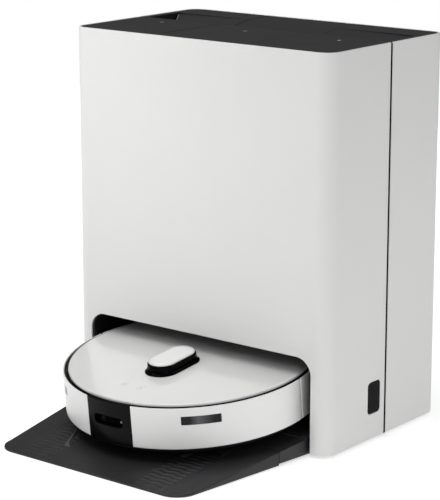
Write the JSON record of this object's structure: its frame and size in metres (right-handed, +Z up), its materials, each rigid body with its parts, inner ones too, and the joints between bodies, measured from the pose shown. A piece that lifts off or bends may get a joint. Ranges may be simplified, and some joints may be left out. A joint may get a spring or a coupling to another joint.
{
  "type": "robot vacuum with emptying and washing station",
  "caption": "Round robot vacuum and mop parked nose out on the ramp of its tall white self-emptying, mop-washing station with lift-out tanks.",
  "frame": {"origin": "on the floor under the centre of the whole outline, station and parked robot together", "axes": "+Z up, -Y out of the front of the station in the direction the robot drives out, +X to the right of someone who faces the front"},
  "size_m": [0.444, 0.505, 0.547],
  "materials": {
    "white_shell": "satin white moulding",
    "charcoal_deck": "fine-textured charcoal",
    "black_inner": "matt black",
    "black_gloss": "gloss black lens plastic",
    "robot_white": "gloss white",
    "grey_plastic": "satin grey",
    "clear_tank": "translucent grey",
    "dark_tank": "translucent dark grey",
    "rubber_black": "matt",
    "tyre_black": "matt tread",
    "mop_cloth": "looped cloth",
    "bag_fleece": "non-woven fleece",
    "contact_metal": "bright",
    "circuit_board": "solder mask",
    "bristle": "soft bristle"
  },
  "bodies": {
    "station": {"base_plate": "charcoal_deck", "ramp": "charcoal_deck", "wash_tray": "grey_plastic", "foot_front_left": "rubber_black", "foot_front_right": "rubber_black", "foot_rear_left": "rubber_black", "foot_rear_right": "rubber_black", "front_shell": "white_shell", "rear_shell": "white_shell", "side_window": "black_gloss", "garage_liner": "black_inner", "core_frame": "black_inner", "suction_motor": "black_inner", "air_duct": "grey_plastic", "clean_pump": "grey_plastic", "dirty_pump": "black_inner", "station_board": "circuit_board", "power_supply": "grey_plastic", "power_inlet": "black_inner", "dust_bag": "bag_fleece"},
    "impeller": {"suction_impeller": "grey_plastic"},
    "clean_tank": {"clean_tank": "clear_tank"},
    "clean_lid": {"clean_tank_lid": "charcoal_deck"},
    "dirty_tank": {"dirty_tank": "dark_tank"},
    "dirty_lid": {"dirty_tank_lid": "charcoal_deck"},
    "bag_door": {"bag_door": "charcoal_deck"},
    "contact_left": {"charge_contact_left": "contact_metal"},
    "contact_right": {"charge_contact_right": "contact_metal"},
    "robot": {"chassis": "black_inner", "rear_side_wall": "robot_white", "top_plate": "robot_white", "top_ring": "black_inner", "turret_base": "black_inner", "turret_cap": "robot_white", "battery_pack": "black_inner", "dust_bin": "grey_plastic", "robot_fan": "black_inner", "robot_board": "circuit_board", "charge_plate_left": "contact_metal", "charge_plate_right": "contact_metal"},
    "bumper": {"bumper": "robot_white", "camera_block": "black_gloss", "bumper_window_left": "black_gloss", "bumper_window_right": "black_gloss"},
    "power_button": {"power_button": "robot_white"},
    "home_button": {"home_button": "robot_white"},
    "lidar": {"lidar_rotor": "grey_plastic"},
    "arm_left": {"wheel_arm_left": "black_inner"},
    "arm_right": {"wheel_arm_right": "black_inner"},
    "wheel_left": {"wheel_left": "tyre_black"},
    "wheel_right": {"wheel_right": "tyre_black"},
    "caster_fork": {"caster_fork": "black_inner"},
    "caster_wheel": {"caster_wheel": "rubber_black"},
    "main_brush": {"main_brush": "rubber_black"},
    "side_brush": {"side_brush": "bristle"},
    "mop_left": {"mop_disc_left": "grey_plastic", "mop_pad_left": "mop_cloth"},
    "mop_right": {"mop_disc_right": "grey_plastic", "mop_pad_right": "mop_cloth"}
  },
  "joints": [
    {"name": "robot_drive", "type": "slide", "parent": "station", "child": "robot", "axis": [0, -1, 0], "range_m": [0, 0.42]},
    {"name": "clean_tank_lift", "type": "slide", "parent": "station", "child": "clean_tank", "axis": [0, 0, 1], "range_m": [0, 0.25]},
    {"name": "dirty_tank_lift", "type": "slide", "parent": "station", "child": "dirty_tank", "axis": [0, 0, 1], "range_m": [0, 0.25]},
    {"name": "clean_lid_hinge", "type": "hinge", "parent": "clean_tank", "child": "clean_lid", "pos_m": [-0.148, 0.2485, 0.5465], "axis": [-1, 0, 0], "range_deg": [0, 95]},
    {"name": "dirty_lid_hinge", "type": "hinge", "parent": "dirty_tank", "child": "dirty_lid", "pos_m": [0.148, 0.2485, 0.5465], "axis": [-1, 0, 0], "range_deg": [0, 95]},
    {"name": "bag_door_hinge", "type": "hinge", "parent": "station", "child": "bag_door", "pos_m": [0, 0.2485, 0.5465], "axis": [-1, 0, 0], "range_deg": [0, 95]},
    {"name": "impeller_spin", "type": "hinge", "parent": "station", "child": "impeller", "pos_m": [0, 0.06, 0.196], "axis": [0, 0, 1], "continuous": true},
    {"name": "charge_contact_left_press", "type": "slide", "parent": "station", "child": "contact_left", "axis": [0, 1, 0], "range_m": [0, 0.003], "stiffness_N_per_m": 300, "springref_m": -0.001},
    {"name": "charge_contact_right_press", "type": "slide", "parent": "station", "child": "contact_right", "axis": [0, 1, 0], "range_m": [0, 0.003], "stiffness_N_per_m": 300, "springref_m": -0.001},
    {"name": "bumper_push", "type": "slide", "parent": "robot", "child": "bumper", "axis": [0, 0.9945, 0.1045], "range_m": [0, 0.003], "stiffness_N_per_m": 400, "springref_m": -0.003},
    {"name": "power_button_press", "type": "slide", "parent": "robot", "child": "power_button", "axis": [0, 0.1045, -0.9945], "range_m": [0, 0.0005], "stiffness_N_per_m": 250, "springref_m": -0.0004},
    {"name": "home_button_press", "type": "slide", "parent": "robot", "child": "home_button", "axis": [0, 0.1045, -0.9945], "range_m": [0, 0.0005], "stiffness_N_per_m": 250, "springref_m": -0.0004},
    {"name": "lidar_spin", "type": "hinge", "parent": "robot", "child": "lidar", "pos_m": [0, -0.07161, 0.10815], "axis": [0, -0.1045, 0.9945], "continuous": true},
    {"name": "suspension_left", "type": "hinge", "parent": "robot", "child": "arm_left", "pos_m": [-0.098, -0.08272, 0.07038], "axis": [1, 0, 0], "range_deg": [0, 13], "stiffness_Nm_per_rad": 2, "springref_deg": -5.73},
    {"name": "wheel_left_spin", "type": "hinge", "parent": "arm_left", "child": "wheel_left", "pos_m": [-0.1175, -0.03619, 0.05818], "axis": [1, 0, 0], "continuous": true},
    {"name": "suspension_right", "type": "hinge", "parent": "robot", "child": "arm_right", "pos_m": [0.098, -0.08272, 0.07038], "axis": [1, 0, 0], "range_deg": [0, 13], "stiffness_Nm_per_rad": 2, "springref_deg": -5.73},
    {"name": "wheel_right_spin", "type": "hinge", "parent": "arm_right", "child": "wheel_right", "pos_m": [0.1175, -0.03619, 0.05818], "axis": [1, 0, 0], "continuous": true},
    {"name": "caster_swivel", "type": "hinge", "parent": "robot", "child": "caster_fork", "pos_m": [0, -0.16087, 0.03904], "axis": [0, -0.1045, 0.9945], "continuous": true},
    {"name": "caster_roll", "type": "hinge", "parent": "caster_fork", "child": "caster_wheel", "pos_m": [0, -0.1554, 0.02524], "axis": [1, 0, 0], "continuous": true},
    {"name": "main_brush_spin", "type": "hinge", "parent": "robot", "child": "main_brush", "pos_m": [0, -0.08681, 0.0423], "axis": [1, 0, 0], "continuous": true},
    {"name": "side_brush_spin", "type": "hinge", "parent": "robot", "child": "side_brush", "pos_m": [0.098, -0.1267, 0.02001], "axis": [0, -0.1045, 0.9945], "continuous": true},
    {"name": "mop_left_spin", "type": "hinge", "parent": "robot", "child": "mop_left", "pos_m": [-0.07, 0.05593, 0.04272], "axis": [0, -0.1045, 0.9945], "continuous": true},
    {"name": "mop_right_spin", "type": "hinge", "parent": "robot", "child": "mop_right", "pos_m": [0.07, 0.05593, 0.04272], "axis": [0, -0.1045, 0.9945], "continuous": true}
  ],
  "couplings": [
    {"joint": "mop_right_spin", "follows": "mop_left_spin", "ratio": -1}
  ]
}
